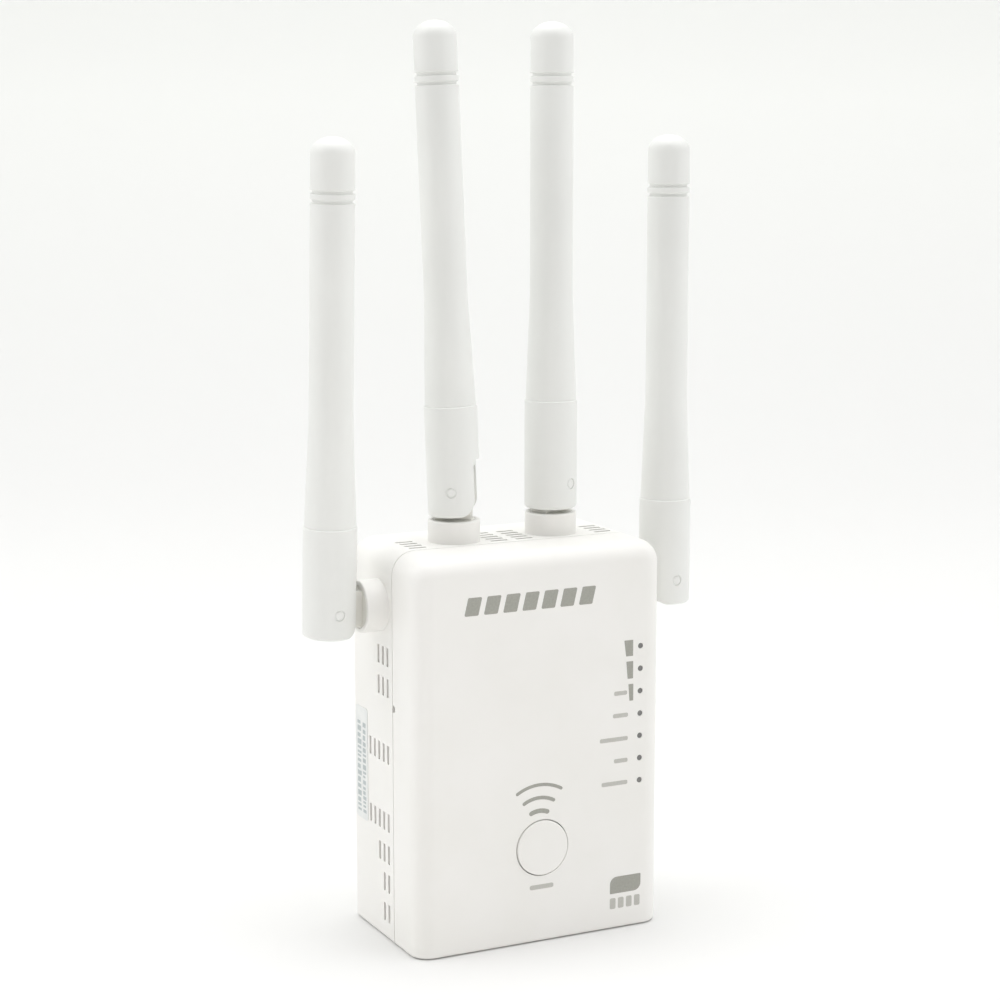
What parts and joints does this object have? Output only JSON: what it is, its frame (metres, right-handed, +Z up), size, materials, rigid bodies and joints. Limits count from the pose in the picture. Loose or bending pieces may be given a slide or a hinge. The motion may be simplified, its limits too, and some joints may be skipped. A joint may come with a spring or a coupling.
{
  "type": "wifi range extender",
  "caption": "Plug-in wifi range extender with tilting, swivelling antennas, a round front push button, a column of status lights and network sockets below.",
  "frame": {"origin": "centre of the flat bottom face of the housing, which the extender stands on", "axes": "+X to the right seen from the front, front face towards -Y, +Z up; antennas stand along +Z at rest"},
  "size_m": [0.1104, 0.0584, 0.2327],
  "materials": {
    "white_cover": "satin moulded ABS",
    "antenna_plastic": "satin moulded ABS",
    "knuckle_plastic": "moulded acetal",
    "clear_plastic": "clear polycarbonate",
    "black_plastic": "moulded nylon",
    "led_body": "encapsulated lamp",
    "circuit_board": "solder mask on glass fibre",
    "shield_metal": "tinned sheet",
    "steel": "zinc plated",
    "blade_brass": "nickel plated",
    "contact_gold": "gold flash",
    "anodised_aluminium": "anodised",
    "ferrite": "sintered",
    "winding_tape": "polyester tape",
    "capacitor_sleeve": "shrink sleeve",
    "brass": "drawn",
    "cable_jacket": "extruded",
    "label_film": "printed film, blank"
  },
  "bodies": {
    "housing": {"front_cover": "white_cover", "rear_cover": "white_cover", "wps_switch_body": "black_plastic", "reset_switch_body": "black_plastic", "light_pipes": "clear_plastic", "status_leds": "led_body", "main_board": "circuit_board", "rf_shields": "shield_metal", "board_chips": "black_plastic", "heat_sink": "anodised_aluminium", "network_magnetics": "black_plastic", "power_board": "circuit_board", "transformer_core": "ferrite", "transformer_winding": "winding_tape", "mains_capacitor": "capacitor_sleeve", "output_capacitors": "capacitor_sleeve", "power_small_parts": "black_plastic", "board_link": "black_plastic", "plug_blade_left": "blade_brass", "plug_blade_right": "blade_brass", "plug_insert": "white_cover", "cover_screws": "steel", "board_screws": "steel", "side_label": "label_film", "lan_jack_1_housing": "black_plastic", "lan_jack_1_shield": "shield_metal", "lan_jack_2_housing": "black_plastic", "lan_jack_2_shield": "shield_metal", "lan_jack_contacts": "contact_gold", "antenna_1_pigtail": "cable_jacket", "antenna_2_pigtail": "cable_jacket", "antenna_3_pigtail": "cable_jacket", "antenna_4_pigtail": "cable_jacket"},
    "wps_button": {"wps_button": "white_cover"},
    "wps_plunger": {"wps_switch_plunger": "black_plastic"},
    "reset_plunger": {"reset_switch_plunger": "black_plastic"},
    "antenna_1_base": {"antenna_1_knuckle": "knuckle_plastic", "antenna_1_retaining_clip": "steel"},
    "antenna_1_arm": {"antenna_1_sleeve": "antenna_plastic", "antenna_1_shaft": "antenna_plastic", "antenna_1_hinge_pins": "knuckle_plastic", "antenna_1_radiator": "brass"},
    "antenna_2_base": {"antenna_2_knuckle": "knuckle_plastic", "antenna_2_retaining_clip": "steel"},
    "antenna_2_arm": {"antenna_2_sleeve": "antenna_plastic", "antenna_2_shaft": "antenna_plastic", "antenna_2_hinge_pins": "knuckle_plastic", "antenna_2_radiator": "brass"},
    "antenna_3_base": {"antenna_3_knuckle": "knuckle_plastic", "antenna_3_retaining_clip": "steel"},
    "antenna_3_arm": {"antenna_3_sleeve": "antenna_plastic", "antenna_3_shaft": "antenna_plastic", "antenna_3_hinge_pins": "knuckle_plastic", "antenna_3_radiator": "brass"},
    "antenna_4_base": {"antenna_4_knuckle": "knuckle_plastic", "antenna_4_retaining_clip": "steel"},
    "antenna_4_arm": {"antenna_4_sleeve": "antenna_plastic", "antenna_4_shaft": "antenna_plastic", "antenna_4_hinge_pins": "knuckle_plastic", "antenna_4_radiator": "brass"}
  },
  "joints": [
    {"name": "antenna_1_swivel", "type": "hinge", "parent": "housing", "child": "antenna_1_base", "pos_m": [-0.0484, 0.0024, 0.0872], "axis": [-1, 0, 0], "range_deg": [-90, 90]},
    {"name": "antenna_1_tilt", "type": "hinge", "parent": "antenna_1_base", "child": "antenna_1_arm", "pos_m": [-0.0484, 0.0024, 0.0872], "axis": [0, 0.9987, 0.0506], "range_deg": [-90, 0]},
    {"name": "antenna_2_swivel", "type": "hinge", "parent": "housing", "child": "antenna_2_base", "pos_m": [-0.0139, 0.0024, 0.1154], "axis": [0, 0, 1], "range_deg": [-90, 90]},
    {"name": "antenna_2_tilt", "type": "hinge", "parent": "antenna_2_base", "child": "antenna_2_arm", "pos_m": [-0.0139, 0.0024, 0.1154], "axis": [0.515, 0.8572, 0], "range_deg": [0, 92.2]},
    {"name": "antenna_3_swivel", "type": "hinge", "parent": "housing", "child": "antenna_3_base", "pos_m": [0.0139, 0.0024, 0.1154], "axis": [0, 0, -1], "range_deg": [-90, 90]},
    {"name": "antenna_3_tilt", "type": "hinge", "parent": "antenna_3_base", "child": "antenna_3_arm", "pos_m": [0.0139, 0.0024, 0.1154], "axis": [-0.3987, 0.9171, 0], "range_deg": [0, 90]},
    {"name": "antenna_4_swivel", "type": "hinge", "parent": "housing", "child": "antenna_4_base", "pos_m": [0.0484, 0.0024, 0.0872], "axis": [1, 0, 0], "range_deg": [-90, 90]},
    {"name": "antenna_4_tilt", "type": "hinge", "parent": "antenna_4_base", "child": "antenna_4_arm", "pos_m": [0.0484, 0.0024, 0.0872], "axis": [0, -1, 0], "range_deg": [-90, 0]},
    {"name": "wps_press", "type": "slide", "parent": "housing", "child": "wps_button", "axis": [0, 1, 0], "range_m": [0, 0.0004], "stiffness_N_per_m": 1500, "springref_m": -0.0004},
    {"name": "wps_plunger_press", "type": "slide", "parent": "housing", "child": "wps_plunger", "axis": [0, 1, 0], "range_m": [0, 0.0004]},
    {"name": "reset_press", "type": "slide", "parent": "housing", "child": "reset_plunger", "axis": [1, 0, 0], "range_m": [0, 0.0003], "stiffness_N_per_m": 1500, "springref_m": -0.0004}
  ],
  "couplings": [
    {"joint": "wps_plunger_press", "follows": "wps_press", "ratio": 1}
  ]
}
